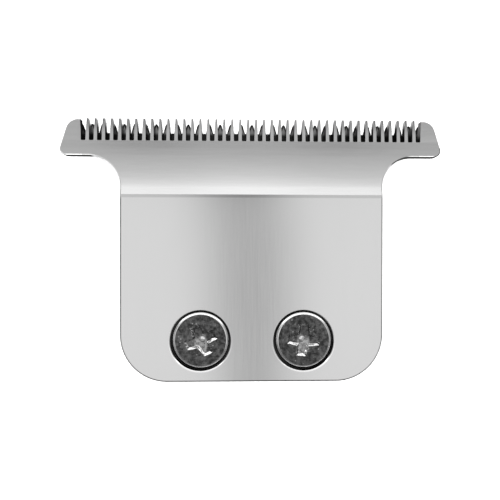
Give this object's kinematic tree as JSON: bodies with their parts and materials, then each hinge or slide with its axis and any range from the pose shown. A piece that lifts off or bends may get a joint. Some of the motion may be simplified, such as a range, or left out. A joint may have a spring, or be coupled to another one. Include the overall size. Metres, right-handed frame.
{
  "type": "hair clipper blade set",
  "caption": "T-shaped hair clipper blade set: hollow-ground steel comb blade with fine teeth, sliding cutter with drive fork, leaf tension spring and two fixing screws.",
  "frame": {"origin": "midway between the two screws, on the seat, the back face of the spring's base that meets the machine", "axes": "+X across the blade to the right as seen from the front, +Y from the screws to the tooth tips, +Z out of the front face with the screw heads"},
  "size_m": [0.0402, 0.0275, 0.007],
  "materials": {
    "blade_steel": "brushed lengthwise, ground hollow",
    "cutter_steel": "dark hardened, fine ground",
    "screw_plating": "dark nickel plating, scuffed",
    "spring_steel": "rolled spring strip",
    "fork_plastic": "moulded, matt"
  },
  "bodies": {
    "comb": {"fixed_blade": "blade_steel", "blade_screws": "screw_plating", "tension_spring": "spring_steel"},
    "cutter": {"moving_blade": "cutter_steel", "drive_fork": "fork_plastic"}
  },
  "joints": [
    {"name": "cutter_slide", "type": "slide", "parent": "comb", "child": "cutter", "axis": [1, 0, 0], "range_m": [-0.001, 0.001]}
  ]
}
